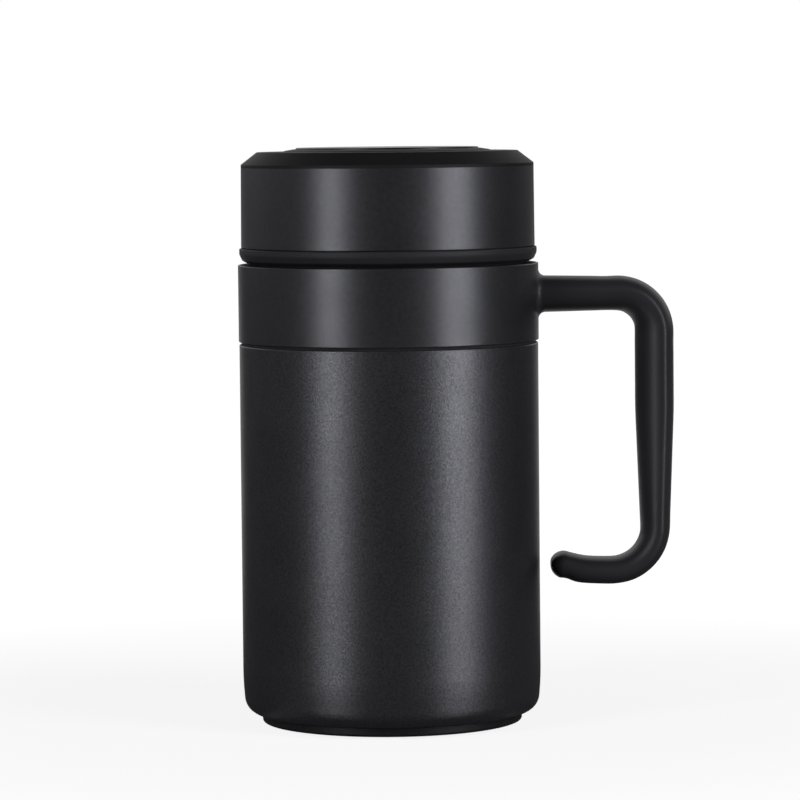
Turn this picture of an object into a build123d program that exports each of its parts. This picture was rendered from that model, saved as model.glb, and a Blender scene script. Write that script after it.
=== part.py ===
"""Lidded vacuum tea mug with a hook handle and a lift-out strainer basket.

Units are millimetres. The origin is the centre of the foot pad's underside, +Z is up and the
handle points along +X. Every piece is a separate solid and is written as its own STEP file.
"""

import math
import os

from build123d import *

# --- driving dimensions -------------------------------------------------------------------

# Flask: an outer shell and a liner of stainless sheet with a vacuum between them.
body_radius = 40.85
shell_wall = 0.5
liner_wall = 0.45
vacuum_gap = 3.55
shoulder_height = 104.0
shoulder_rounding = 0.35
shoulder_width = 4.85
neck_gap = 0.6
neck_fillet = 1.4
neck_length = 37.0
snap_bead_rise = 0.6
snap_bead_width = 3.2
snap_bead_lift = 11.0

# Lower end of the outer shell: a slight draw-in, then a round corner.
shell_bottom = 2.86
corner_radius = 4.5
draw_in_angle = 5.5
draw_in_radius = 80.0
draw_in_length = 8.54

# Foot: pressed cover with a soft pad let into it.
foot_inset = 5.25
foot_land = 1.0
foot_rounding = 0.8
cover_wall = 0.5
rim_stand = 0.4
pad_margin = 6.6
pad_thickness = 1.3
pad_clearance = 0.15
pad_rounding = 0.3
seat_fillet = 0.2
seat_rounding = 0.4

# Outer base disc with the evacuation hole, its glass plug, and the getter.
base_disc_margin = 0.1
base_dome_margin = 9.4
base_dome_rise = 1.2
evacuation_radius = 0.8
plug_radius = 2.6
plug_height = 1.1
plug_rounding = 0.9
getter_radius = 4.5
getter_height = 1.6
getter_offset = 14.0
getter_tab_wall = 0.5
getter_tab_length = 14.4

# Liner.
liner_base_gap = 5.74
liner_corner = 5.0
liner_cup_height = 8.4
liner_shoulder_drop = 2.75
liner_shoulder_length = 5.0
liner_bend = 3.0
ledge_drop = 10.8
ledge_depth = 1.1
ledge_width = 2.4
ledge_rounding = 0.6
lip_rise = 1.1

# Collar: a moulded ring on the neck with a painted steel band round it.
collar_step = 0.15
collar_height = 20.95
band_wall = 0.6
band_clearance = 0.05
band_rounding = 0.2
ring_wall = 2.6
ring_rounding = 0.3
ring_lip_rise = 0.42
ring_lip_wall = 0.7
collar_groove = 0.75
collar_groove_depth = 0.8
ring_top_wall = 2.4
ring_clearance = 0.3
ring_rib_count = 12
ring_rib_width = 2.4

# Handle: a moulding with a tenon that passes the band's window into the ring's pocket.
tenon_depth = 1.3
tenon_clearance = 0.2
screw_radius = 1.25
screw_length = 8.0
screw_spacing = 8.4
screw_head_radius = 2.3
screw_head_height = 1.2
screw_clearance = 0.2
screw_thread_clearance = 0.05
screw_slot_width = 0.6
screw_slot_depth = 0.7
screw_slot_length = 3.0
handle_drop = 8.65
handle_stand = 31.5
handle_upper_bend = 10.2
handle_lower_bend = 12.0
handle_length = 75.95
handle_tip_bend = 32.0
handle_tip_angle = 18.0
handle_tip_run = 3.2
handle_root_fillet = 1.8
root_thickness = 10.1
bar_thickness = 9.3
grip_thickness = 10.6
heel_thickness = 8.1
hook_thickness = 7.3
root_width = 15.0
bar_width = 15.75
grip_width = 16.5
hook_width = 15.5
tip_width = 14.5
# Shape of its section: outer share of the thickness, and squareness (2 is an ellipse).
root_shape = (0.46, 2.4)
bar_shape = (0.38, 2.1)
grip_shape = (0.3, 1.85)
heel_shape = (0.38, 2.0)
hook_shape = (0.5, 2.7)

# Lid.
lid_gap = 0.5
lid_thread_clearance = 0.4
lid_bead_inset = 0.4
lid_bead_height = 4.0
lid_foot_chamfer = 2.1
lid_foot_bevel = 0.75
lid_foot_rounding = 0.6
bead_swell = 2.4
bead_rounding = 1.6
bead_edge_rounding = 0.35
bead_groove = 0.4
skirt_rounding = 0.3
skirt_fillet = 0.6
sleeve_inset = 0.92
sleeve_taper = 0.15
sleeve_wall = 0.5
sleeve_clearance = 0.12
sleeve_seam = 0.3
sleeve_length = 21.65
cap_height = 4.2
cap_chamfer = 4.35
cap_wall = 2.0
cap_lip = 0.85
cap_lip_rounding = 0.3
cap_rounding = 0.5
boss_inset = 11.28
boss_bevel = 3.2
boss_rise = 0.7
boss_step_run = 1.0
boss_step_rise = 0.35
boss_rounding = 0.3
boss_fillet = 0.6
badge_inset = 3.9
badge_thickness = 1.1
badge_stand = 0.4
badge_clearance = 0.1
badge_rounding = 0.3
plug_depth = 6.6
plug_inset = 1.05
lid_plug_wall = 2.0
plug_corner = 1.0
plug_edge_rounding = 0.8
catch_rounding = 0.2
lid_ceiling_wall = 2.0
seal_thickness = 2.2
seal_skirt = 2.6
seal_gap = 0.1
seal_rounding = 0.2
insulation_thickness = 9.0
insulation_clearance = 0.6

# Quick thread between neck and lid.
thread_starts = 3
thread_lead = 12.0
thread_span = 125.0
thread_depth = 0.95
thread_root_width = 2.1
thread_crest_width = 1.1
thread_drop = 11.2
thread_play = 0.3

# Strainer basket.
basket_inset = 2.45
basket_wall = 0.4
basket_depth = 40.0
basket_band = 7.0
basket_corner = 3.0
basket_rim_bend = 0.45
basket_base_turnup = 2.15
basket_rim_clearance = 0.35
basket_rim_upstand = 1.2
basket_lap = 1.4
basket_base_lap = 3.6
basket_hole_radius = 0.8
basket_hole_rows = 6
basket_holes_per_row = 32
base_hole_rings = 4
base_hole_pitch = 6.2

# --- sizes worked out from the driving ones -----------------------------------------------

foot_radius = body_radius - foot_inset
base_land = foot_radius - foot_land
cover_top = shell_bottom
pad_radius = foot_radius - pad_margin
pad_top = pad_thickness

draw_in = draw_in_length * math.tan(math.radians(draw_in_angle))
base_disc_radius = body_radius - draw_in - corner_radius - base_disc_margin
base_dome_radius = base_disc_radius - base_dome_margin
base_disc_bottom = shell_bottom + shell_wall

neck_radius = body_radius - shoulder_width
neck_top = shoulder_height + neck_length
snap_bead_height = shoulder_height + snap_bead_lift
liner_radius = body_radius - shell_wall - vacuum_gap
liner_neck_radius = neck_radius - shell_wall - neck_gap
mouth_radius = liner_neck_radius - liner_wall
lip_top = neck_top + lip_rise
liner_bottom = shell_bottom + liner_base_gap
liner_seam_height = liner_bottom + liner_cup_height
ledge_height = neck_top - ledge_drop
ledge_top = ledge_height + ledge_width / 2

collar_radius = body_radius + collar_step
groove_top = shoulder_height + collar_groove
collar_top = groove_top + collar_height
ring_bore = neck_radius + ring_clearance
ring_radius = collar_radius - band_wall - band_clearance
tenon_start = ring_radius - tenon_depth
screw_seat = ring_radius - ring_wall

handle_height = collar_top - handle_drop
handle_reach = collar_radius + handle_stand
handle_bottom = handle_height - handle_length

lid_bottom = collar_top + lid_gap
lid_bead_radius = collar_radius - lid_bead_inset
sleeve_radius = collar_radius - sleeve_inset
thread_crest = neck_radius + thread_depth
thread_bottom = neck_top - thread_drop
skirt_bore = thread_crest + lid_thread_clearance
sleeve_bore = sleeve_radius - sleeve_wall - sleeve_taper
skirt_radius = sleeve_bore - sleeve_clearance
bead_top = lid_bottom + lid_bead_height
sleeve_bottom = bead_top + sleeve_seam
sleeve_top = sleeve_bottom + sleeve_length
cap_top = sleeve_top + cap_height
boss_radius = sleeve_radius - boss_inset
badge_radius = boss_radius - badge_inset
lid_plug_radius = mouth_radius - plug_inset
seal_bottom = lip_top + seal_gap
seal_top = seal_bottom + seal_thickness
seal_skirt_bottom = lip_top - seal_skirt
seal_bore = lid_plug_radius + seal_gap
seal_skirt_radius = mouth_radius - seal_gap
ceiling_bottom = seal_top + seal_gap
ceiling_top = ceiling_bottom + lid_ceiling_wall
plug_bottom = lip_top - plug_depth
plug_floor = plug_bottom + lid_plug_wall
plug_bore = lid_plug_radius - lid_plug_wall

basket_radius = mouth_radius - basket_inset
rim_radius = mouth_radius - basket_rim_clearance
rim_bottom = ledge_top
basket_bottom = rim_bottom - basket_depth
band_bottom = rim_bottom - basket_band


# --- helpers ------------------------------------------------------------------------------

def turned(corners):
    """A solid of revolution. Each corner is (radius, height) or (radius, height, rounding)."""
    outline = make_face(Polyline(*[corner[:2] for corner in corners], close=True))
    for corner in corners:
        if len(corner) == 3 and corner[2] > 0:
            spot = Vector(corner[0], corner[1])
            vertex = min(outline.vertices(), key=lambda v: (Vector(v.X, v.Y) - spot).length)
            outline = fillet(vertex, corner[2])
    return revolve(Plane.XZ * outline, Axis.Z)


def turn_of(before, here, after):
    """How the path turns at a corner: positive to the left."""
    along = (here[0] - before[0], here[1] - before[1])
    onward = (after[0] - here[0], after[1] - here[1])
    return along[0] * onward[1] - along[1] * onward[0]


def shifted_corner(before, here, after, wall):
    """The corner of a path moved to its left by the sheet's thickness."""
    first = math.atan2(here[1] - before[1], here[0] - before[0])
    second = math.atan2(after[1] - here[1], after[0] - here[0])
    half_turn = (second - first) / 2
    middle = first + half_turn + math.pi / 2
    reach = wall / math.cos(half_turn)
    return here[0] + reach * math.cos(middle), here[1] + reach * math.sin(middle)


def sheet(path, wall):
    """Turned sheet metal: path is one face of the sheet and the metal lies to its left."""
    count = len(path)
    other_face = []
    for index, corner in enumerate(path):
        before = path[index - 1] if index else (2 * corner[0] - path[1][0], 2 * corner[1] - path[1][1])
        last = index == count - 1
        after = (2 * corner[0] - before[0], 2 * corner[1] - before[1]) if last else path[index + 1]
        moved = shifted_corner(before, corner, after, wall)
        rounding = corner[2] if len(corner) == 3 else 0
        if rounding:
            tighter = turn_of(before, corner, after) > 0
            rounding = max(rounding - wall, 0.05) if tighter else rounding + wall
        other_face.append((*moved, rounding))
    return turned(list(path) + other_face[::-1])


def disc(radius, bottom, top):
    """A plain round plate on the axis."""
    return Pos(0, 0, bottom) * Cylinder(radius, top - bottom, align=(Align.CENTER, Align.CENTER, Align.MIN))


def thread_rib(wall_radius, crest_radius, start_angle, start_height):
    """One start of the thread, fading into its wall at both ends."""
    section_count = 11
    fade_share = 0.16
    sink = shell_wall * 0.4
    hidden = sink if crest_radius > wall_radius else -sink
    rib_foot = wall_radius - hidden
    ribs = []
    for step in range(section_count):
        share = step / (section_count - 1)
        fade = min(1.0, min(share, 1 - share) / fade_share)
        fade = fade * fade * (3 - 2 * fade)
        angle = math.radians(start_angle + thread_span * share)
        middle = start_height + thread_lead * thread_span / 360 * share
        crest = wall_radius - hidden / 2 + (crest_radius - wall_radius + hidden / 2) * fade
        plane = Plane(
            origin=(0, 0, 0),
            x_dir=(math.cos(angle), math.sin(angle), 0),
            z_dir=(math.sin(angle), -math.cos(angle), 0),
        )
        trapezium = Polyline(
            (rib_foot, middle - thread_root_width / 2),
            (crest, middle - thread_crest_width / 2),
            (crest, middle + thread_crest_width / 2),
            (rib_foot, middle + thread_root_width / 2),
            close=True,
        )
        ribs.append(plane * make_face(trapezium))
    return loft(ribs)


# --- flask --------------------------------------------------------------------------------

def make_outer_shell():
    """Drawn outer shell: corner, wall, shoulder and the rolled neck with its thread."""
    bead_half = snap_bead_width / 2
    path = [
        (base_land, shell_bottom),
        (body_radius - draw_in, shell_bottom, corner_radius),
        (body_radius, shell_bottom + draw_in_length, draw_in_radius),
        (body_radius, shoulder_height, shoulder_rounding),
        (neck_radius, shoulder_height, neck_fillet),
        (neck_radius, snap_bead_height - bead_half, bead_half),
        (neck_radius + snap_bead_rise, snap_bead_height, bead_half / 2),
        (neck_radius, snap_bead_height + bead_half, bead_half),
        (neck_radius, neck_top),
    ]
    shell = sheet(path, shell_wall)
    for start in range(thread_starts):
        shell += thread_rib(neck_radius, thread_crest, start * 360 / thread_starts, thread_bottom)
    return shell


def make_outer_base():
    """Base disc of the outer shell, domed up, with the evacuation hole in the middle."""
    path = [
        (evacuation_radius, base_disc_bottom + base_dome_rise),
        (base_dome_radius, base_disc_bottom + base_dome_rise, base_dome_rise),
        (base_dome_radius + base_dome_rise, base_disc_bottom, base_dome_rise),
        (base_disc_radius, base_disc_bottom),
    ]
    return sheet(path, shell_wall)


def make_vacuum_plug():
    """Glass bead that closes the evacuation hole from below."""
    hole_bottom = base_disc_bottom + base_dome_rise
    bead = turned([
        (0, hole_bottom - plug_height),
        (plug_radius, hole_bottom - plug_height, plug_rounding),
        (plug_radius, hole_bottom),
        (0, hole_bottom),
    ])
    return bead + disc(evacuation_radius, hole_bottom, hole_bottom + shell_wall)


def make_base_cover():
    """Pressed cover that closes the base, with a seat for the pad."""
    seat_radius = pad_radius + pad_clearance
    path = [
        (0, pad_top),
        (seat_radius, pad_top, seat_fillet),
        (seat_radius, rim_stand, seat_rounding),
        (foot_radius, rim_stand, foot_rounding),
        (foot_radius, cover_top),
    ]
    return sheet(path, cover_wall)


def make_foot_pad():
    """Soft pad that the mug stands on."""
    return turned([(0, 0), (pad_radius, 0, pad_rounding), (pad_radius, pad_top, pad_rounding), (0, pad_top)])


def make_inner_liner():
    """Liner tube with the strainer's ledge rolled in and its lip folded over the shell's neck."""
    inner = liner_radius - liner_wall
    neck_start = shoulder_height - liner_shoulder_drop
    path = [
        (inner, liner_seam_height),
        (inner, neck_start - liner_shoulder_length, liner_bend),
        (mouth_radius, neck_start, liner_bend),
        (mouth_radius, ledge_height - ledge_width / 2, ledge_rounding),
        (mouth_radius - ledge_depth, ledge_height, ledge_rounding),
        (mouth_radius, ledge_top, ledge_rounding),
        (mouth_radius, neck_top),
    ]
    tube = sheet([(r, z, *more) for r, z, *more in reversed(path)], liner_wall)
    lip_rounding = 0.49 * min(neck_radius - mouth_radius, 2 * lip_rise)
    lip = turned([
        (mouth_radius, neck_top),
        (neck_radius, neck_top),
        (neck_radius, lip_top, lip_rounding),
        (mouth_radius, lip_top, lip_rounding),
    ])
    return tube + lip


def make_liner_base():
    """Bottom cup of the liner, welded to the tube above it."""
    path = [
        (0, liner_bottom),
        (liner_radius, liner_bottom, liner_corner),
        (liner_radius, liner_seam_height),
    ]
    return sheet(path, liner_wall)


def make_getter():
    """Getter tablet in its small steel cup, spot-welded under the liner's base."""
    cup = disc(getter_radius, liner_bottom - getter_height, liner_bottom)
    tab_place = Pos(0, 0, liner_bottom - getter_tab_wall / 2)
    tab = tab_place * Box(getter_tab_length, getter_radius, getter_tab_wall)
    return Pos(getter_offset, 0, 0) * (cup + tab)


# --- collar and handle --------------------------------------------------------------------

def handle_path():
    """Centre line of the handle, from the end of its tenon to the tip of the hook."""
    bend_side = math.sqrt(0.5)
    knuckle_start = handle_reach - handle_upper_bend
    knuckle_end = handle_height - handle_upper_bend
    upper = Line((tenon_start, 0, handle_height), (knuckle_start, 0, handle_height))
    knuckle_middle = (
        knuckle_start + handle_upper_bend * bend_side,
        0,
        knuckle_end + handle_upper_bend * bend_side,
    )
    knuckle = ThreePointArc(upper @ 1, knuckle_middle, (handle_reach, 0, knuckle_end))
    heel_start = handle_bottom + handle_lower_bend
    heel_end = handle_reach - handle_lower_bend
    grip = Line(knuckle @ 1, (handle_reach, 0, heel_start))
    heel_middle = (heel_end + handle_lower_bend * bend_side, 0, heel_start - handle_lower_bend * bend_side)
    heel = ThreePointArc(grip @ 1, heel_middle, (heel_end, 0, handle_bottom))
    run = Line(heel @ 1, (heel_end - handle_tip_run, 0, handle_bottom))
    tip_points = [
        (
            heel_end - handle_tip_run - handle_tip_bend * math.sin(math.radians(angle)),
            0,
            handle_bottom + handle_tip_bend * (1 - math.cos(math.radians(angle))),
        )
        for angle in (handle_tip_angle / 2, handle_tip_angle)
    ]
    tip = ThreePointArc(run @ 1, *tip_points)
    return [upper, knuckle, grip, heel, run, tip]


def handle_section(place, tangent, thickness, width, outer_share, squareness):
    """Egg-shaped section: outer_share of its thickness lies outside its widest line."""
    point_count = 16
    outer_depth = thickness * outer_share
    inner_depth = thickness - outer_depth
    widest = inner_depth - thickness / 2
    outline = []
    for step in range(point_count):
        angle = 2 * math.pi * (step + 0.5) / point_count
        across, deep = math.sin(angle), math.cos(angle)
        depth = math.copysign(abs(deep) ** (2 / squareness), deep)
        half = math.copysign(abs(across) ** (2 / squareness), across)
        outline.append((widest + depth * (outer_depth if deep > 0 else inner_depth), half * width / 2))
    plane = Plane(origin=place, x_dir=(-tangent.Z, 0, tangent.X), z_dir=tangent)
    return plane * make_face(Spline(*outline, periodic=True))


def handle_bar():
    """The bar of the handle: a loft along its centre line, with a round nose at the tip.

    Bar and nose share a section, whose two faces are left out where the skins are sewn together.
    """
    face_margin = 0.5
    pieces = handle_path()
    path = Wire(pieces)
    upper, knuckle, grip, heel = [piece.length for piece in pieces[:4]]
    bar_end_share = 0.9
    grip_even_share = 0.4
    # distance along the path, thickness, width, outer share, squareness
    rows = [
        (0, root_thickness, root_width, *root_shape),
        (upper * bar_end_share, bar_thickness, bar_width, *bar_shape),
        (upper + knuckle, grip_thickness, grip_width, *grip_shape),
        (upper + knuckle + grip * grip_even_share, grip_thickness, grip_width, *grip_shape),
        (upper + knuckle + grip, heel_thickness, grip_width, *heel_shape),
        (upper + knuckle + grip + heel, hook_thickness, hook_width, *hook_shape),
        (path.length, hook_thickness, tip_width, *hook_shape),
    ]
    section_count = 36
    sections = []
    for step in range(section_count + 1):
        share = step / section_count
        along = share * path.length
        before, after = next(
            (low, high) for low, high in zip(rows, rows[1:]) if along <= high[0] + 1e-6
        )
        mix = (along - before[0]) / (after[0] - before[0])
        sizes = [low + (high - low) * mix for low, high in zip(before[1:], after[1:])]
        sections.append(handle_section(path @ share, path % share, *sizes))
    tip = path @ 1
    nose = handle_nose(tip, path % 1, *rows[-1][1:])
    skins = loft(sections).faces() + nose.faces()
    outer_skins = [face for face in skins if (face.center() - tip).length > face_margin]
    return Part() + Solid(Shell(outer_skins))


def handle_nose(end, direction, thickness, width, outer_share, squareness):
    """Round end of the hook: sections that shrink as the height of a half circle does."""
    depth = thickness / 2
    last_angle = 82
    step_count = 6
    sections = []
    for step in range(step_count + 1):
        angle = math.radians(last_angle * step / step_count)
        shrink = thickness * (1 - math.cos(angle))
        place = end + direction * (depth * math.sin(angle))
        sections.append(
            handle_section(place, direction, thickness - shrink, width - shrink, outer_share, squareness)
        )
    return loft(sections)


def tenon_hole(start):
    """The clearance hole for the tenon, from start outward."""
    margin = 2 * tenon_clearance
    section = handle_section(
        Vector(start, 0, handle_height),
        Vector(1, 0, 0),
        root_thickness + margin,
        root_width + margin,
        *root_shape,
    )
    return extrude(section, amount=2 * (collar_radius - start))


def at_screws(piece):
    """Copies of a piece made along +X, set at both screws' seats."""
    return [Pos(screw_seat, side * screw_spacing / 2, handle_height) * piece for side in (-1, 1)]


def along_x(radius, start, end):
    """A round bar along X."""
    middle = (start + end) / 2
    return Pos(middle, 0, 0) * Rot(0, 90, 0) * Cylinder(radius, end - start)


def runs_round_root(edge):
    """Whether an edge lies on the band's face, between its ends, and isn't upright."""
    points = [edge @ share for share in (0.2, 0.5, 0.8)]
    on_face = all(abs(math.hypot(point.X, point.Y) - collar_radius) < 0.01 for point in points)
    within = all(groove_top < point.Z < collar_top for point in points)
    return on_face and within and edge.bounding_box().size.Y > ring_clearance


def make_handle():
    """Handle moulding: its root flares out on the band, and its tenon goes through the band."""
    bar = handle_bar()
    core = disc(collar_radius, groove_top, collar_top)
    joined = core + bar
    seam = [edge for edge in joined.edges() if runs_round_root(edge)]
    flared = fillet(seam, handle_root_fillet) - core
    pilot = along_x(screw_radius + screw_thread_clearance, 0, screw_length + screw_clearance)
    return flared + (bar & core) - at_screws(pilot)


def make_collar_ring():
    """Moulded ring that snaps over the neck's bead; ribs inside, a pocket for the handle's tenon."""
    wall_bore = ring_radius - ring_wall
    ring = turned([
        (wall_bore, shoulder_height),
        (collar_radius - collar_groove_depth, shoulder_height),
        (collar_radius - collar_groove_depth, groove_top),
        (ring_radius, groove_top),
        (ring_radius, collar_top, ring_rounding),
        (ring_bore + ring_lip_wall, collar_top),
        (ring_bore + ring_lip_wall, collar_top + ring_lip_rise),
        (ring_bore, collar_top + ring_lip_rise),
        (ring_bore, collar_top - ring_top_wall),
        (wall_bore, collar_top - ring_top_wall),
    ])
    rib_bottom = shoulder_height + neck_fillet + ring_clearance
    rib_top = collar_top - ring_top_wall / 2
    rib_outer = wall_bore + ring_wall / 2
    notch_half = snap_bead_width / 2 + 2 * ring_clearance
    rib_ring = turned([
        (ring_bore, rib_bottom),
        (rib_outer, rib_bottom),
        (rib_outer, rib_top),
        (ring_bore, rib_top),
        (ring_bore, snap_bead_height + notch_half),
        (ring_bore + snap_bead_rise, snap_bead_height),
        (ring_bore, snap_bead_height - notch_half),
    ])
    blade = Pos(collar_radius / 2, 0, 0) * Box(collar_radius, ring_rib_width, 2 * collar_top)
    turns = [360 / ring_rib_count * (index + 0.5) for index in range(ring_rib_count)]
    ribs = rib_ring & (Part() + [Rot(0, 0, turn) * blade for turn in turns])
    shank_hole = along_x(screw_radius + screw_clearance, -ring_wall, ring_wall)
    head_seat = along_x(screw_head_radius + screw_clearance, -ring_wall, 0)
    return ring + ribs - tenon_hole(tenon_start) - at_screws(shank_hole) - at_screws(head_seat)


def make_collar_band():
    """Painted steel band round the ring, with a window for the handle's tenon."""
    band = turned([
        (collar_radius - band_wall, groove_top),
        (collar_radius, groove_top, band_rounding),
        (collar_radius, collar_top, band_rounding),
        (collar_radius - band_wall, collar_top),
    ])
    return band - tenon_hole(ring_radius - tenon_depth / 2)


def make_handle_screw(side):
    """One of the two screws that hold the handle, driven outward from inside the ring."""
    head = along_x(screw_head_radius, -screw_head_height, 0)
    rim = head.edges().filter_by(GeomType.CIRCLE).sort_by(Axis.X)[0]
    head = fillet(rim, screw_head_height / 2)
    slot_place = Pos(-screw_head_height + screw_slot_depth / 2, 0, 0)
    slots = [
        slot_place * Box(screw_slot_depth, screw_slot_length, screw_slot_width),
        slot_place * Box(screw_slot_depth, screw_slot_width, screw_slot_length),
    ]
    screw = head + along_x(screw_radius, 0, screw_length) - slots
    return Pos(screw_seat, side * screw_spacing / 2, handle_height) * screw


# --- lid ----------------------------------------------------------------------------------

def make_lid_inner():
    """Inner lid: skirt with the thread, a bead round its lower edge, and a flange at its top."""
    body = turned([
        (plug_bore, ceiling_bottom),
        (skirt_bore, ceiling_bottom, skirt_fillet),
        (skirt_bore, lid_bottom, skirt_rounding),
        (lid_bead_radius - lid_foot_chamfer, lid_bottom, lid_foot_rounding),
        (lid_bead_radius - lid_foot_bevel, lid_bottom + lid_foot_bevel, lid_foot_rounding),
        (lid_bead_radius, lid_bottom + bead_swell, bead_rounding),
        (lid_bead_radius, bead_top, bead_edge_rounding),
        (skirt_radius - bead_groove, bead_top),
        (skirt_radius - bead_groove, sleeve_bottom),
        (skirt_radius, sleeve_bottom),
        (skirt_radius, ceiling_top),
        (plug_bore, ceiling_top),
    ])
    drop = thread_root_width + thread_play
    crest = neck_radius + lid_thread_clearance
    for start in range(thread_starts):
        body += thread_rib(skirt_bore, crest, start * 360 / thread_starts, thread_bottom - drop)
    return body


def make_lid_plug():
    """Hollow plug, welded under the inner lid's flange; a step at its lower edge holds the seal."""
    catch_radius = seal_skirt_radius - seal_gap
    catch_top = seal_skirt_bottom - seal_gap
    return turned([
        (0, plug_bottom),
        (catch_radius, plug_bottom, plug_edge_rounding),
        (catch_radius, catch_top, catch_rounding),
        (lid_plug_radius, catch_top),
        (lid_plug_radius, ceiling_bottom),
        (plug_bore, ceiling_bottom),
        (plug_bore, plug_floor, plug_corner),
        (0, plug_floor),
    ])


def make_lid_sleeve():
    """Painted steel band round the lid, slightly narrower at the top."""
    return turned([
        (sleeve_radius - sleeve_wall, sleeve_bottom),
        (sleeve_radius, sleeve_bottom),
        (sleeve_radius - sleeve_taper, sleeve_top),
        (sleeve_radius - sleeve_taper - sleeve_wall, sleeve_top),
    ])


def make_lid_cap():
    """Top cap: chamfered edge, low boss with the badge's seat, and a ring that holds the sleeve."""
    rim = sleeve_radius - sleeve_taper
    boss_top = cap_top + boss_rise
    seat_bottom = boss_top + badge_stand - badge_thickness
    tenon_bore = skirt_radius - cap_wall
    return turned([
        (0, sleeve_top),
        (tenon_bore, sleeve_top),
        (tenon_bore, ceiling_top),
        (skirt_radius, ceiling_top),
        (skirt_radius, sleeve_top),
        (rim, sleeve_top),
        (rim, sleeve_top + cap_lip, cap_lip_rounding),
        (rim - cap_chamfer, cap_top, cap_rounding),
        (boss_radius, cap_top, boss_fillet),
        (boss_radius - boss_step_run, cap_top + boss_step_rise, boss_rounding),
        (boss_radius - boss_bevel, boss_top, boss_rounding),
        (badge_radius + badge_clearance, boss_top),
        (badge_radius + badge_clearance, seat_bottom),
        (0, seat_bottom),
    ])


def make_lid_badge():
    """Round metal inlay on top of the lid, left plain."""
    top = cap_top + boss_rise + badge_stand
    bottom = top - badge_thickness
    return turned([(0, bottom), (badge_radius, bottom), (badge_radius, top, badge_rounding), (0, top)])


def make_lid_insulation():
    """Foam disc in the lid's hollow."""
    radius = plug_bore - insulation_clearance
    top = plug_floor + insulation_thickness
    return turned([(0, plug_floor), (radius, plug_floor, plug_corner), (radius, top, plug_corner), (0, top)])


def make_lid_seal():
    """Silicone ring: its flat part closes the mouth and its skirt sits inside the lip."""
    return turned([
        (seal_bore, seal_skirt_bottom),
        (seal_skirt_radius, seal_skirt_bottom, seal_rounding),
        (seal_skirt_radius, seal_bottom),
        (neck_radius, seal_bottom, seal_rounding),
        (neck_radius, seal_top, seal_rounding),
        (seal_bore, seal_top, seal_rounding),
    ])


# --- strainer basket ----------------------------------------------------------------------

def make_infuser_rim():
    """Rim of the strainer: flange that rests on the liner's ledge, and the plain band below it."""
    band_radius = basket_radius + basket_wall
    path = [
        (band_radius, band_bottom),
        (band_radius, rim_bottom, basket_rim_bend),
        (rim_radius, rim_bottom, basket_rim_bend),
        (rim_radius, rim_bottom + basket_rim_upstand),
    ]
    return sheet(path, basket_wall)


def make_infuser_wall():
    """Perforated wall of the strainer."""
    top = band_bottom + basket_lap
    bottom = basket_bottom + basket_corner
    tube = turned([
        (basket_radius - basket_wall, bottom),
        (basket_radius, bottom),
        (basket_radius, top),
        (basket_radius - basket_wall, top),
    ])
    low = basket_bottom + basket_base_lap + basket_corner
    step = (band_bottom - low) / basket_hole_rows
    holes = []
    for row in range(basket_hole_rows):
        height = low + step * (row + 0.5)
        for index in range(basket_holes_per_row):
            turn = 360 / basket_holes_per_row * (index + 0.5 * (row % 2))
            place = Rot(0, 0, turn) * Pos(basket_radius, 0, height) * Rot(0, 90, 0)
            holes.append(place * Cylinder(basket_hole_radius, 4 * basket_wall))
    return tube - holes


def make_infuser_base():
    """Perforated bottom of the strainer, its edge turned up round the wall."""
    radius = basket_radius + basket_wall
    path = [
        (0, basket_bottom),
        (radius, basket_bottom, basket_corner),
        (radius, basket_bottom + basket_corner + basket_base_turnup),
    ]
    plate = sheet(path, basket_wall)
    spots = [(0, 0)]
    for ring in range(1, base_hole_rings + 1):
        for index in range(6 * ring):
            angle = 2 * math.pi * index / (6 * ring)
            reach = ring * base_hole_pitch
            spots.append((reach * math.cos(angle), reach * math.sin(angle)))
    drill = Cylinder(basket_hole_radius, 4 * basket_wall)
    drills = [Pos(x, y, basket_bottom) * drill for x, y in spots]
    return plate - drills


# --- writing the pieces -------------------------------------------------------------------

makers = {
    "outer_shell": make_outer_shell,
    "outer_base": make_outer_base,
    "vacuum_plug": make_vacuum_plug,
    "base_cover": make_base_cover,
    "foot_pad": make_foot_pad,
    "inner_liner": make_inner_liner,
    "liner_base": make_liner_base,
    "getter": make_getter,
    "collar_ring": make_collar_ring,
    "collar_band": make_collar_band,
    "handle": make_handle,
    "handle_screw_left": lambda: make_handle_screw(1),
    "handle_screw_right": lambda: make_handle_screw(-1),
    "lid_inner": make_lid_inner,
    "lid_plug": make_lid_plug,
    "lid_sleeve": make_lid_sleeve,
    "lid_cap": make_lid_cap,
    "lid_badge": make_lid_badge,
    "lid_insulation": make_lid_insulation,
    "lid_seal": make_lid_seal,
    "infuser_rim": make_infuser_rim,
    "infuser_wall": make_infuser_wall,
    "infuser_base": make_infuser_base,
}

os.makedirs("parts", exist_ok=True)
for name, make in makers.items():
    export_step(make(), f"parts/{name}.step")
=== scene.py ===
import math

import bpy
from mathutils import Matrix, Vector


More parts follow.
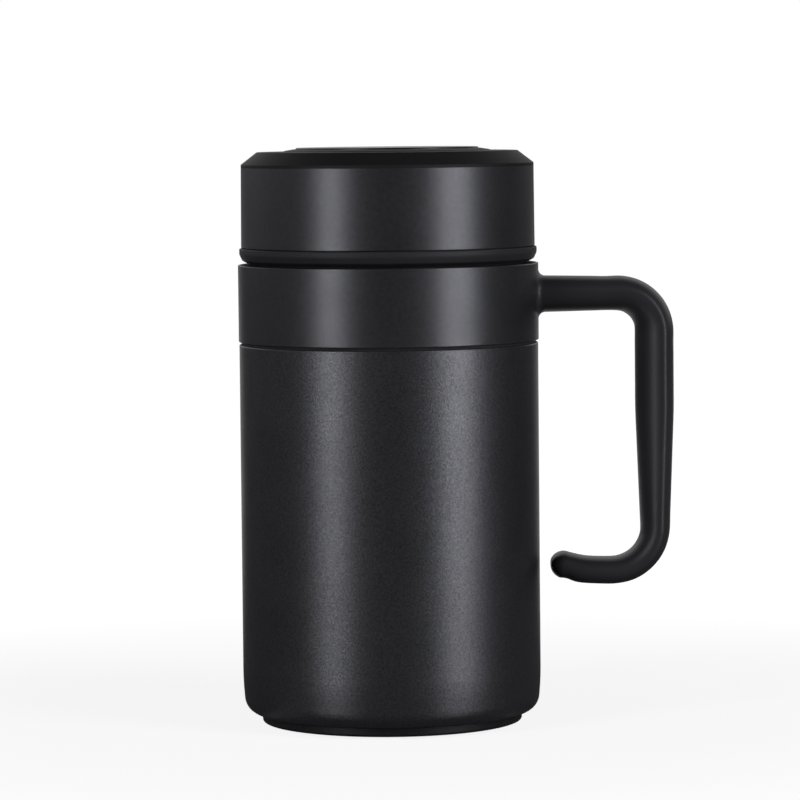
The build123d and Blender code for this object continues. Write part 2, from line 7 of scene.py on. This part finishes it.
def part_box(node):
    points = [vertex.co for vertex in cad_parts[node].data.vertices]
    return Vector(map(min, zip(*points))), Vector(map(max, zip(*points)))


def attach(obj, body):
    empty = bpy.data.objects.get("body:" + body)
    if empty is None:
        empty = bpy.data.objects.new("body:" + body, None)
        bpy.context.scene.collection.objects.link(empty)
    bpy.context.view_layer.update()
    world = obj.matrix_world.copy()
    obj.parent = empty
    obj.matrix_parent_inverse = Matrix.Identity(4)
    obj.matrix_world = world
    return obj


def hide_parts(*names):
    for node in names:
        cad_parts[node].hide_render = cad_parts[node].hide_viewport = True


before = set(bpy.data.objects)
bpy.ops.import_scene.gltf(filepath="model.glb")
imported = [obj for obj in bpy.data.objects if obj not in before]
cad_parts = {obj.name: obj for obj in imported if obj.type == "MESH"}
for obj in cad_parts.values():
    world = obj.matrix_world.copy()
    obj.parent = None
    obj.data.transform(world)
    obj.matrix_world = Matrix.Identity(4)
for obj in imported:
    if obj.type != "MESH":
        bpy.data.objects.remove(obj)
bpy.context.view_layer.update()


# --- Studio --------------------------------------------------------------------------------
# A pale table runs into a white backdrop. Two tall strip softboxes, left and right of the camera,
# draw the two long reflections on the mug, and a wide weak one lights its left edge. The rest of
# the room is dim.

studio = bpy.context.scene
studio.view_settings.view_transform = "Standard"


def link_up(tree, *pairs):
    """Link pairs of (node, output) and (node, input)."""
    for (source, output), (target, socket) in pairs:
        tree.links.new(source.outputs[output], target.inputs[socket])


def band_share(tree, value, low, full):
    """Rise smoothly from 0 at low to 1 at full; full below low makes it fall."""
    share = tree.nodes.new("ShaderNodeMapRange")
    share.interpolation_type = "SMOOTHSTEP"
    share.inputs["From Min"].default_value = low
    share.inputs["From Max"].default_value = full
    tree.links.new(value, share.inputs["Value"])
    return share.outputs["Result"]


def maths(tree, operation, first, second=None):
    """A maths node on sockets or numbers."""
    node = tree.nodes.new("ShaderNodeMath")
    node.operation = operation
    for index, value in enumerate((first, second)):
        if isinstance(value, (int, float)):
            node.inputs[index].default_value = value
        elif value is not None:
            tree.links.new(value, node.inputs[index])
    return node.outputs["Value"]


def white_share(tree, mirrored):
    """1 for what the eye or clear glass sees, and the mirrored share for reflections."""
    rays = tree.nodes.new("ShaderNodeLightPath").outputs
    in_view = maths(tree, "MAXIMUM", rays["Is Camera Ray"], rays["Is Transmission Ray"])
    in_mirror = maths(tree, "MULTIPLY", rays["Is Glossy Ray"], mirrored)
    return maths(tree, "MAXIMUM", in_view, in_mirror)


# Mirror-like parts see the white backdrop where it hangs, above and behind the mug.
room = bpy.data.worlds.new("dim_room")
studio.world = room
room.use_nodes = True
room_tree = room.node_tree
room_tree.nodes.clear()
room_direction = room_tree.nodes.new("ShaderNodeTexCoord")
room_axes = room_tree.nodes.new("ShaderNodeSeparateXYZ")
link_up(room_tree, ((room_direction, "Generated"), (room_axes, "Vector")))
behind = band_share(room_tree, room_axes.outputs["Y"], 0.45, 0.8)
above_mug = band_share(room_tree, room_axes.outputs["Z"], 0.03, 0.12)
below_top = band_share(room_tree, room_axes.outputs["Z"], 0.8, 0.5)
backdrop_height = maths(room_tree, "MULTIPLY", above_mug, below_top)
backdrop_share = maths(room_tree, "MULTIPLY", behind, backdrop_height)
room_light = room_tree.nodes.new("ShaderNodeBackground")
room_light.inputs["Color"].default_value = (0.078, 0.078, 0.08, 1)
white_light = room_tree.nodes.new("ShaderNodeBackground")
white_light.inputs["Color"].default_value = (1, 1, 1, 1)
room_mix = room_tree.nodes.new("ShaderNodeMixShader")
room_out = room_tree.nodes.new("ShaderNodeOutputWorld")
room_tree.links.new(white_share(room_tree, backdrop_share), room_mix.inputs["Fac"])
link_up(
    room_tree,
    ((room_light, "Background"), (room_mix, 1)),
    ((white_light, "Background"), (room_mix, 2)),
    ((room_mix, "Shader"), (room_out, "Surface")),
)

# The table is white to the eye, with painted shade round the mug where its glow is turned down,
# and it keeps the mug's real shadow. In reflections it is grey paper with a sheen in front of the
# mug, and white only behind it.
table_half = 3.0
table_below_foot = 0.0001
table_corners = ((-1, -1), (1, -1), (1, 1), (-1, 1))
table_mesh = bpy.data.meshes.new("table_top")
table_mesh.from_pydata(
    [(x * table_half, y * table_half, -table_below_foot) for x, y in table_corners],
    [],
    [(0, 1, 2, 3)],
)
table = bpy.data.objects.new("table_top", table_mesh)
studio.collection.objects.link(table)
table_paper = bpy.data.materials.new("white_table_paper")
table_paper.use_nodes = True
paper_tree = table_paper.node_tree
paper_tree.nodes.clear()
paper_glow = paper_tree.nodes.new("ShaderNodeEmission")
paper_place = paper_tree.nodes.new("ShaderNodeTexCoord")
paper_reach = paper_tree.nodes.new("ShaderNodeVectorMath")
paper_reach.operation = "LENGTH"
# Painted shade: the table's glow is weaker near the mug and rises to full white further off.
painted_shade_round_mug = paper_tree.nodes.new("ShaderNodeMapRange")
painted_shade_round_mug.interpolation_type = "SMOOTHSTEP"
painted_shade_round_mug.inputs["From Min"].default_value = 0.08
painted_shade_round_mug.inputs["From Max"].default_value = 0.40
painted_shade_round_mug.inputs["To Min"].default_value = 0.86
painted_shade_round_mug.inputs["To Max"].default_value = 1.0
paper_shadow = paper_tree.nodes.new("ShaderNodeBsdfDiffuse")
paper_shadow.inputs["Color"].default_value = (0.16, 0.16, 0.16, 1)
paper_bounce = paper_tree.nodes.new("ShaderNodeBsdfDiffuse")
paper_bounce.inputs["Color"].default_value = (0.17, 0.17, 0.17, 1)
paper_sheen = paper_tree.nodes.new("ShaderNodeBsdfAnisotropic")
paper_sheen.inputs["Roughness"].default_value = 0.1
paper_unseen = paper_tree.nodes.new("ShaderNodeAddShader")
paper_seen = paper_tree.nodes.new("ShaderNodeAddShader")
paper_bearing = paper_tree.nodes.new("ShaderNodeVectorMath")
paper_bearing.operation = "NORMALIZE"
paper_axes = paper_tree.nodes.new("ShaderNodeSeparateXYZ")
link_up(
    paper_tree,
    ((paper_place, "Object"), (paper_bearing, 0)),
    ((paper_bearing, "Vector"), (paper_axes, "Vector")),
)
paper_behind = band_share(paper_tree, paper_axes.outputs["Y"], 0.85, 0.98)
paper_front = band_share(paper_tree, paper_axes.outputs["Y"], -0.25, -0.5)
sheen_strength = 0.19
sheen_tone = maths(paper_tree, "MULTIPLY", paper_front, sheen_strength)
paper_tree.links.new(sheen_tone, paper_sheen.inputs["Color"])
paper_mix = paper_tree.nodes.new("ShaderNodeMixShader")
paper_tree.links.new(white_share(paper_tree, paper_behind), paper_mix.inputs["Fac"])
paper_out = paper_tree.nodes.new("ShaderNodeOutputMaterial")
link_up(
    paper_tree,
    ((paper_place, "Object"), (paper_reach, 0)),
    ((paper_reach, "Value"), (painted_shade_round_mug, "Value")),
    ((painted_shade_round_mug, "Result"), (paper_glow, "Strength")),
    ((paper_glow, "Emission"), (paper_seen, 0)),
    ((paper_shadow, "BSDF"), (paper_seen, 1)),
    ((paper_bounce, "BSDF"), (paper_unseen, 0)),
    ((paper_sheen, "BSDF"), (paper_unseen, 1)),
    ((paper_unseen, "Shader"), (paper_mix, 1)),
    ((paper_seen, "Shader"), (paper_mix, 2)),
    ((paper_mix, "Shader"), (paper_out, "Surface")),
)
table_mesh.materials.append(table_paper)

# Every softbox glows more strongly over the lowest share of its height.
low_band = 0.24
low_gain = 1.2


def strip_softbox(name, bearing, width, height, middle_height, radiance, distance=1.2):
    """A softbox that faces the mug, brighter low down; bearing is degrees right of the camera."""
    lamp = bpy.data.lights.new(name, "AREA")
    lamp.shape = "RECTANGLE"
    lamp.size = width
    lamp.size_y = height
    lamp.energy = radiance * math.pi * width * height
    lamp.color = (0.98, 0.985, 1.08)
    lamp.use_nodes = True
    glow = lamp.node_tree.nodes["Emission"]
    spot = lamp.node_tree.nodes.new("ShaderNodeNewGeometry")
    spot_axes = lamp.node_tree.nodes.new("ShaderNodeSeparateXYZ")
    link_up(lamp.node_tree, ((spot, "Parametric"), (spot_axes, "Vector")))
    low_glow = band_share(lamp.node_tree, spot_axes.outputs["Y"], low_band, 0.0)
    low_boost = maths(lamp.node_tree, "MULTIPLY", low_glow, low_gain)
    lamp.node_tree.links.new(maths(lamp.node_tree, "ADD", low_boost, 1.0), glow.inputs["Strength"])
    softbox = bpy.data.objects.new(name, lamp)
    turn = math.radians(bearing)
    softbox.location = (distance * math.sin(turn), -distance * math.cos(turn), middle_height)
    softbox.rotation_euler = (math.radians(90), 0, turn)
    studio.collection.objects.link(softbox)


strip_softbox("left_softbox", -44, width=0.36, height=1.0, middle_height=0.50, radiance=7.1)
strip_softbox("right_softbox", 53, width=0.52, height=1.0, middle_height=0.50, radiance=7.2)
strip_softbox("left_fill", -105, width=1.3, height=0.8, middle_height=0.62, radiance=0.62)

# The camera stands 1.2 m in front of the mug, a little above the lid, and looks down at it.
camera_place = Vector((0.0029, -1.188, 0.1672))
camera_pitch = math.radians(3.8)
camera_roll = math.radians(0.55)
camera_data = bpy.data.cameras.new("studio_camera")
camera_data.lens = 195.75
camera_data.sensor_width = 36
camera_data.clip_end = 20
camera = bpy.data.objects.new("studio_camera", camera_data)
camera_tilt = Matrix.Rotation(math.pi / 2 - camera_pitch, 4, "X")
camera_lean = Matrix.Rotation(-camera_roll, 4, "Z")
camera.matrix_world = Matrix.Translation(camera_place) @ camera_tilt @ camera_lean
studio.collection.objects.link(camera)
studio.camera = camera


# --- Flask body ----------------------------------------------------------------------------
# The outer shell is drawn from stainless sheet. Its wall and shoulder wear a fine-grained matt
# black powder coat that stops under the collar, so the neck and its thread are bare steel.

def dress(node, material):
    """Give a CAD node's slots this material."""
    obj = bpy.data.objects[node]
    for slot in obj.material_slots:
        slot.link = "DATA"
    obj.data.materials.clear()
    obj.data.materials.append(material)


def noise(tree, place, size, detail=2.0, roughness=0.5):
    """A noise texture whose grains are about size metres across."""
    texture = tree.nodes.new("ShaderNodeTexNoise")
    texture.inputs["Scale"].default_value = 1 / size
    texture.inputs["Detail"].default_value = detail
    texture.inputs["Roughness"].default_value = roughness
    tree.links.new(place, texture.inputs["Vector"])
    return texture.outputs["Fac"]


# Nearly all of a noise lies between these two values.
noise_low = 0.3
noise_high = 0.7


def span(tree, value, low, high):
    """Turn a noise into the range low to high."""
    stretch = tree.nodes.new("ShaderNodeMapRange")
    stretch.inputs["From Min"].default_value = noise_low
    stretch.inputs["From Max"].default_value = noise_high
    stretch.inputs["To Min"].default_value = low
    stretch.inputs["To Max"].default_value = high
    tree.links.new(value, stretch.inputs["Value"])
    return stretch.outputs["Result"]


def shade(tree, value, dark, light):
    """Turn a noise into a colour between dark and light."""
    ramp = tree.nodes.new("ShaderNodeValToRGB")
    ramp.color_ramp.elements[0].position = noise_low
    ramp.color_ramp.elements[0].color = (*dark, 1)
    ramp.color_ramp.elements[1].position = noise_high
    ramp.color_ramp.elements[1].color = (*light, 1)
    tree.links.new(value, ramp.inputs["Fac"])
    return ramp.outputs["Color"]


def relief(tree, height, depth, below=None):
    """A bump of depth metres, on top of another where given."""
    bump = tree.nodes.new("ShaderNodeBump")
    bump.inputs["Distance"].default_value = depth
    tree.links.new(height, bump.inputs["Height"])
    if below:
        tree.links.new(below, bump.inputs["Normal"])
    return bump.outputs["Normal"]


def new_finish(name):
    """A material with a Principled shader, and its object coordinates."""
    material = bpy.data.materials.new(name)
    material.use_nodes = True
    tree = material.node_tree
    place = tree.nodes.new("ShaderNodeTexCoord").outputs["Object"]
    return material, tree, tree.nodes["Principled BSDF"], place


def vectors(tree, operation, *values):
    """A vector maths node on sockets, vectors or, for SCALE, a vector and a number."""
    node = tree.nodes.new("ShaderNodeVectorMath")
    node.operation = operation
    sockets = (node.inputs[0], node.inputs["Scale"] if operation == "SCALE" else node.inputs[1])
    for socket, value in zip(sockets, values):
        if isinstance(value, bpy.types.NodeSocket):
            tree.links.new(value, socket)
        else:
            socket.default_value = value
    return node.outputs["Value" if operation in ("DOT_PRODUCT", "LENGTH") else "Vector"]


def turned_normal(tree, place):
    """The normal of a turned wall, without the faint step where the wall's two ends meet."""
    to_piece, to_world = (tree.nodes.new("ShaderNodeVectorTransform") for _ in range(2))
    for change in (to_piece, to_world):
        change.vector_type = "NORMAL"
    to_piece.convert_from, to_piece.convert_to = "WORLD", "OBJECT"
    to_world.convert_from, to_world.convert_to = "OBJECT", "WORLD"
    surface = tree.nodes.new("ShaderNodeNewGeometry")
    tree.links.new(surface.outputs["Normal"], to_piece.inputs["Vector"])
    normal = to_piece.outputs["Vector"]
    outward = vectors(tree, "NORMALIZE", vectors(tree, "MULTIPLY", place, (1, 1, 0)))
    across = vectors(tree, "SCALE", outward, vectors(tree, "DOT_PRODUCT", normal, outward))
    upright = vectors(tree, "MULTIPLY", normal, (0, 0, 1))
    tree.links.new(vectors(tree, "ADD", across, upright), to_world.inputs["Vector"])
    return vectors(tree, "NORMALIZE", to_world.outputs["Vector"])


patch_size = 0.012
patch_depth = 0.00002
patch_gloss = 0.02


def paint(name, dark, light, roughness, grain, grain_depth, specular=0.5, sparkle=0.07):
    """Black paint: a grain that dents it and glints, and patches of slightly different gloss."""
    material, tree, shader, place = new_finish(name)
    grains = noise(tree, place, grain, 3.0, 0.6)
    patches = noise(tree, place, patch_size, 3.0)
    tree.links.new(shade(tree, grains, dark, light), shader.inputs["Base Color"])
    gloss = span(tree, patches, roughness - patch_gloss, roughness + patch_gloss)
    tree.links.new(gloss, shader.inputs["Roughness"])
    swell = relief(tree, patches, patch_depth, turned_normal(tree, place))
    tree.links.new(relief(tree, grains, grain_depth, swell), shader.inputs["Normal"])
    glint = span(tree, grains, specular * (1 - sparkle), specular * (1 + sparkle))
    shader.inputs["Specular IOR Level"].default_value = specular
    tree.links.new(glint, shader.inputs["Specular IOR Level"])
    return material, tree, shader, place


powder_black, powder_tree, powder_shader, powder_place = paint(
    "black_powder_coat",
    dark=(0.0075, 0.0075, 0.0085),
    light=(0.0095, 0.0095, 0.0105),
    roughness=0.37,
    grain=0.0005,
    grain_depth=0.00003,
    sparkle=0.38,
)
bare_neck = powder_tree.nodes.new("ShaderNodeBsdfPrincipled")
bare_neck.inputs["Base Color"].default_value = (0.60, 0.59, 0.57, 1)
bare_neck.inputs["Metallic"].default_value = 1
neck_rub = noise(powder_tree, powder_place, 0.0012, 4.0)
powder_tree.links.new(span(powder_tree, neck_rub, 0.27, 0.31), bare_neck.inputs["Roughness"])

# The coat ends on the shoulder, just under the collar and at the root of the neck.
coat_edge_radius = 0.0385
coat_edge_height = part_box("collar_ring")[0][2] - 0.001
shell_axes = powder_tree.nodes.new("ShaderNodeSeparateXYZ")
powder_tree.links.new(powder_place, shell_axes.inputs["Vector"])
shell_reach = vectors(powder_tree, "MULTIPLY", powder_place, (1, 1, 0))
shell_radius = vectors(powder_tree, "LENGTH", shell_reach)
is_inner = maths(powder_tree, "LESS_THAN", shell_radius, coat_edge_radius)
is_above = maths(powder_tree, "GREATER_THAN", shell_axes.outputs["Z"], coat_edge_height)
coat_or_steel = powder_tree.nodes.new("ShaderNodeMixShader")
is_neck = maths(powder_tree, "MULTIPLY", is_inner, is_above)
powder_tree.links.new(is_neck, coat_or_steel.inputs["Fac"])
link_up(
    powder_tree,
    ((powder_shader, "BSDF"), (coat_or_steel, 1)),
    ((bare_neck, "BSDF"), (coat_or_steel, 2)),
    ((coat_or_steel, "Shader"), (powder_tree.nodes["Material Output"], "Surface")),
)
dress("outer_shell", powder_black)


# --- Base ----------------------------------------------------------------------------------
# A pressed disc closes the shell; its evacuation hole is sealed with a bead of solder glass.
# A painted cover hides both and carries the soft pad that the mug stands on.

def mottled(name, dark, light, grain, detail=3.0, crumble=0.5, gloss=None, depth=None):
    """A material whose colour follows one noise, as do roughness and relief where given."""
    material, tree, shader, place = new_finish(name)
    grains = noise(tree, place, grain, detail, crumble)
    tree.links.new(shade(tree, grains, dark, light), shader.inputs["Base Color"])
    if gloss:
        tree.links.new(span(tree, grains, *gloss), shader.inputs["Roughness"])
    if depth:
        tree.links.new(relief(tree, grains, depth), shader.inputs["Normal"])
    return material, shader


def steel(name, colour, low, high, rub_size):
    """Bare stainless steel with cloudy polish marks."""
    darker = tuple(0.9 * part for part in colour)
    material, shader = mottled(name, darker, colour, rub_size, 5.0, 0.65, (low, high), 0.000006)
    shader.inputs["Metallic"].default_value = 1
    return material


dress("outer_base", steel("pressed_base_steel", (0.55, 0.54, 0.52), 0.3, 0.45, 0.003))

glass_bead, glass_shader = mottled(
    "solder_glass", dark=(0.16, 0.17, 0.15), light=(0.3, 0.31, 0.28), grain=0.0006
)
glass_shader.inputs["Roughness"].default_value = 0.12
dress("vacuum_plug", glass_bead)

cover_paint = paint(
    "base_cover_paint",
    dark=(0.005, 0.005, 0.005),
    light=(0.008, 0.008, 0.008),
    roughness=0.5,
    grain=0.0009,
    grain_depth=0.00001,
    specular=0.15,
)[0]
dress("base_cover", cover_paint)

pad_rubber = mottled(
    "foot_pad_rubber",
    dark=(0.010, 0.010, 0.010),
    light=(0.022, 0.022, 0.022),
    grain=0.0004,
    detail=4.0,
    crumble=0.7,
    gloss=(0.75, 0.9),
    depth=0.00008,
)[0]
dress("foot_pad", pad_rubber)


# --- Liner ---------------------------------------------------------------------------------
# The liner is electropolished stainless tube with a ledge rolled in for the strainer, its lip
# folded over the neck. A sintered getter tablet keeps the vacuum under its bottom cup.

liner_steel = steel("electropolished_steel", (0.66, 0.65, 0.63), 0.20, 0.25, 0.0015)
dress("inner_liner", liner_steel)
dress("liner_base", liner_steel)
dress("getter", steel("sintered_getter", (0.35, 0.34, 0.32), 0.5, 0.7, 0.0006))


# --- Collar --------------------------------------------------------------------------------
# A moulded ring snaps over the neck, and a steel band in smooth satin black paint is pressed
# round it. A narrow groove parts the band from the shell's shoulder.

texture_size = 0.0003
flow_size = 0.02


def moulding(name, dark, light, roughness, texture_depth, specular):
    """Moulded black plastic with a fine spark-eroded texture."""
    material, tree, shader, place = new_finish(name)
    texture = noise(tree, place, texture_size, 3.0, 0.6)
    flow = noise(tree, place, flow_size)
    tree.links.new(shade(tree, flow, dark, light), shader.inputs["Base Color"])
    gloss = span(tree, texture, roughness - 0.03, roughness + 0.05)
    tree.links.new(gloss, shader.inputs["Roughness"])
    tree.links.new(relief(tree, texture, texture_depth), shader.inputs["Normal"])
    shader.inputs["Specular IOR Level"].default_value = specular
    return material


satin_black = paint(
    "satin_black_paint",
    dark=(0.008, 0.008, 0.009),
    light=(0.011, 0.011, 0.012),
    roughness=0.365,
    grain=0.0012,
    grain_depth=0.000006,
    specular=0.42,
)[0]
collar_plastic = moulding(
    "collar_plastic", (0.009, 0.009, 0.009), (0.013, 0.013, 0.013), 0.7, 0.00001, 0.17
)
dress("collar_ring", collar_plastic)
dress("collar_band", satin_black)


# --- Handle --------------------------------------------------------------------------------
# One black moulding whose skin is a little duller than the painted band. Its tenon passes the
# band's window into the ring, where two screws hold it from inside.

handle_plastic = moulding(
    "handle_plastic", (0.014, 0.014, 0.015), (0.018, 0.018, 0.019), 0.43, 0.000004, 0.20
)
dress("handle", handle_plastic)
screw_steel = steel("screw_steel", (0.5, 0.5, 0.49), 0.25, 0.4, 0.0008)
dress("handle_screw_left", screw_steel)
dress("handle_screw_right", screw_steel)


# --- Lid -----------------------------------------------------------------------------------
# The inner moulding has the thread and the lower bead, and a hollow plug with foam in it is welded
# under it. A satin black steel sleeve wraps it, and a chamfered cap with a plain metal inlay
# closes the top. A silicone ring seals the lid on the mug's lip.

lid_plastic = moulding(
    "lid_plastic", (0.011, 0.011, 0.012), (0.015, 0.015, 0.016), 0.55, 0.000006, 0.19
)
dress("lid_inner", lid_plastic)
dress("lid_plug", lid_plastic)
dress("lid_sleeve", satin_black)
cap_plastic = moulding(
    "lid_cap_plastic", (0.005, 0.005, 0.005), (0.007, 0.007, 0.007), 0.58, 0.000008, 0.14
)
dress("lid_cap", cap_plastic)

badge_metal, badge_shader = mottled(
    "dark_anodised_badge",
    dark=(0.035, 0.035, 0.037),
    light=(0.05, 0.05, 0.052),
    grain=0.0005,
    detail=4.0,
    crumble=0.6,
    gloss=(0.32, 0.42),
    depth=0.000004,
)
badge_shader.inputs["Metallic"].default_value = 1
dress("lid_badge", badge_metal)

foam_white, foam_shader = mottled(
    "lid_foam",
    dark=(0.6, 0.6, 0.57),
    light=(0.75, 0.75, 0.72),
    grain=0.0012,
    detail=4.0,
    crumble=0.7,
    depth=0.0002,
)
foam_shader.inputs["Roughness"].default_value = 0.9
dress("lid_insulation", foam_white)

silicone, silicone_shader = mottled(
    "seal_silicone",
    dark=(0.55, 0.55, 0.53),
    light=(0.66, 0.66, 0.64),
    grain=0.003,
    gloss=(0.35, 0.45),
)
silicone_shader.inputs["Subsurface Weight"].default_value = 0.3
silicone_shader.inputs["Subsurface Scale"].default_value = 0.002
dress("lid_seal", silicone)


# --- Strainer ------------------------------------------------------------------------------
# A drawn stainless rim hangs on the liner's ledge. Below its plain band the wall is a rolled
# perforated sheet, and a perforated cup with a plain turned-up edge closes the bottom.

strainer_steel = steel("strainer_steel", (0.64, 0.63, 0.61), 0.21, 0.26, 0.0012)
dress("infuser_rim", strainer_steel)
dress("infuser_base", strainer_steel)

sheet_gauge = 0.0004
hole_radius = 0.00055
hole_sides = 12
holes_round = 72
least_edge = 0.0012
wall_low, wall_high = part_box("infuser_wall")
wall_radius = wall_high[0] - sheet_gauge
wall_height = wall_high[2] - wall_low[2]
half_pitch = math.pi * wall_radius / holes_round
hole_rows = 2 * math.floor((wall_height - 2 * least_edge) / half_pitch / 2)
wall_sizes = {
    "Half Pitch": half_pitch,
    "Hole Radius": hole_radius,
    "Holes Round": holes_round,
    "Rows": hole_rows,
    "Plain Edge": (wall_height - (hole_rows + 1) * half_pitch) / 2,
    "Radius": wall_radius,
    "Gauge": sheet_gauge,
    "Middle": (wall_low[2] + wall_high[2]) / 2,
}
sheet_tree = bpy.data.node_groups.new("rolled_punched_sheet", "GeometryNodeTree")
for label in wall_sizes:
    sheet_tree.interface.new_socket(label, in_out="INPUT", socket_type="NodeSocketFloat")
sheet_tree.interface.new_socket("Geometry", in_out="OUTPUT", socket_type="NodeSocketGeometry")
size = sheet_tree.nodes.new("NodeGroupInput").outputs
weld_distance = 0.00001


def sheet_node(kind, **inputs):
    """The first output of a node of the sheet's tree, with its inputs linked or set."""
    node = sheet_tree.nodes.new("GeometryNode" + kind)
    for name, value in inputs.items():
        socket = node.inputs[name.replace("_", " ")]
        for part in value if isinstance(value, list) else [value]:
            if isinstance(part, bpy.types.NodeSocket):
                sheet_tree.links.new(part, socket)
            else:
                socket.default_value = part
    return node.outputs[0]


def sums(operation, *values):
    """One operation chained over two or more sockets or numbers."""
    total = values[0]
    for value in values[1:]:
        total = maths(sheet_tree, operation, total, value)
    return total


def axes_of_points():
    """The x and y of every point as sockets."""
    apart = sheet_tree.nodes.new("ShaderNodeSeparateXYZ")
    sheet_tree.links.new(sheet_node("InputPosition"), apart.inputs["Vector"])
    return apart.outputs["X"], apart.outputs["Y"]


def point_at(across=None, up=None, along=None):
    """A vector from sockets, with 0 where none is given."""
    together = sheet_tree.nodes.new("ShaderNodeCombineXYZ")
    for socket, value in zip(together.inputs, (across, up, along)):
        if value is not None:
            sheet_tree.links.new(value, socket)
    return together.outputs["Vector"]


# One cell is a diamond with a round hole; cells stand in staggered rows and fill the sheet.
minus_half = sums("MULTIPLY", size["Half Pitch"], -1)
diamond = sheet_tree.nodes.new("GeometryNodeCurvePrimitiveQuadrilateral")
diamond.mode = "POINTS"
corners = (
    point_at(across=size["Half Pitch"]),
    point_at(up=size["Half Pitch"]),
    point_at(across=minus_half),
    point_at(up=minus_half),
)
for number, corner in enumerate(corners, 1):
    sheet_tree.links.new(corner, diamond.inputs[f"Point {number}"])
hole = sheet_node("CurvePrimitiveCircle", Resolution=hole_sides, Radius=size["Hole Radius"])
outlines = sheet_node("JoinGeometry", Geometry=[diamond.outputs[0], hole])
cell = sheet_node("FillCurve", Curve=outlines)

rows_height = sums("MULTIPLY", sums("SUBTRACT", size["Rows"], 1), size["Half Pitch"])
row_length = sums("MULTIPLY", sums("SUBTRACT", size["Holes Round"], 1), size["Half Pitch"], 2)
centres = sheet_node(
    "MeshGrid",
    Size_X=row_length,
    Size_Y=rows_height,
    Vertices_X=size["Holes Round"],
    Vertices_Y=size["Rows"],
)
half_rows = sums("MULTIPLY", rows_height, 0.5)
centre_y = axes_of_points()[1]
rows_below = sums("DIVIDE", sums("ADD", centre_y, half_rows), size["Half Pitch"])
row_number = maths(sheet_tree, "ROUND", rows_below)
stagger = sums("MULTIPLY", sums("MODULO", row_number, 2), size["Half Pitch"])
centres = sheet_node("SetPosition", Geometry=centres, Offset=point_at(across=stagger))
cells = sheet_node("InstanceOnPoints", Points=centres, Instance=cell)
pieces = [sheet_node("RealizeInstances", Geometry=cells)]

# Above and below the rows the sheet is left plain, and its inner edge meets the diamonds' points.
for side in (1, -1):
    columns = sums("MULTIPLY", size["Holes Round"], 2)
    band = sheet_node(
        "MeshGrid",
        Size_X=sums("MULTIPLY", columns, size["Half Pitch"]),
        Size_Y=1.0,
        Vertices_X=sums("ADD", columns, 1),
        Vertices_Y=2,
    )
    band_x, band_y = axes_of_points()
    half_band = sums("MULTIPLY", columns, size["Half Pitch"], 0.5)
    columns_left = sums("DIVIDE", sums("ADD", band_x, half_band), size["Half Pitch"])
    column = maths(sheet_tree, "ROUND", columns_left)
    odd_column = sums("MODULO", column, 2)
    on_point = sums("SUBTRACT", 1, odd_column) if side == 1 else odd_column
    at_rim = maths(sheet_tree, "GREATER_THAN", sums("MULTIPLY", band_y, side), 0)
    inner_rise = sums("MULTIPLY", on_point, size["Half Pitch"])
    rim_rise = sums("ADD", size["Half Pitch"], size["Plain Edge"])
    rise = sums(
        "ADD",
        half_rows,
        sums("MULTIPLY", at_rim, rim_rise),
        sums("MULTIPLY", sums("SUBTRACT", 1, at_rim), inner_rise),
    )
    place = point_at(across=band_x, up=sums("MULTIPLY", rise, side))
    pieces.append(sheet_node("SetPosition", Geometry=band, Position=place))

# The flat sheet is rolled into a tube, welded along its seam and given its thickness.
flat = sheet_node("JoinGeometry", Geometry=pieces)
flat_x, flat_y = axes_of_points()
turn = sums("DIVIDE", flat_x, size["Radius"])
rolled_place = point_at(
    across=sums("MULTIPLY", size["Radius"], maths(sheet_tree, "COSINE", turn)),
    up=sums("MULTIPLY", size["Radius"], maths(sheet_tree, "SINE", turn)),
    along=sums("ADD", flat_y, size["Middle"]),
)
rolled = sheet_node("SetPosition", Geometry=flat, Position=rolled_place)
inner_skin = sheet_node("MergeByDistance", Geometry=rolled, Distance=weld_distance)
outer_skin = sheet_node(
    "ExtrudeMesh", Mesh=inner_skin, Offset_Scale=size["Gauge"], Individual=False
)
inner_skin = sheet_node("FlipFaces", Mesh=inner_skin)
sheet = sheet_node("JoinGeometry", Geometry=[outer_skin, inner_skin])
sheet = sheet_node("MergeByDistance", Geometry=sheet, Distance=weld_distance)
sheet = sheet_node("RealizeInstances", Geometry=sheet)
sheet = sheet_node("SetMaterial", Geometry=sheet, Material=strainer_steel)
sheet_tree.links.new(sheet, sheet_tree.nodes.new("NodeGroupOutput").inputs["Geometry"])

blank = bpy.data.objects.new("strainer_blank", bpy.data.meshes.new("strainer_blank"))
studio.collection.objects.link(blank)
rolling = blank.modifiers.new("roll", "NODES")
rolling.node_group = sheet_tree
for item in sheet_tree.interface.items_tree:
    if item.in_out == "INPUT":
        rolling[item.identifier] = float(wall_sizes[item.name])
evaluated_blank = blank.evaluated_get(bpy.context.evaluated_depsgraph_get())
punched_mesh = bpy.data.meshes.new_from_object(evaluated_blank)
blank.modifiers.clear()
bpy.data.objects.remove(blank)
punched_mesh.materials.clear()
punched_mesh.materials.append(strainer_steel)
strainer_wall = bpy.data.objects.new("strainer_punched_wall", punched_mesh)
studio.collection.objects.link(strainer_wall)
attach(strainer_wall, "infuser")
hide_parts("infuser_wall")
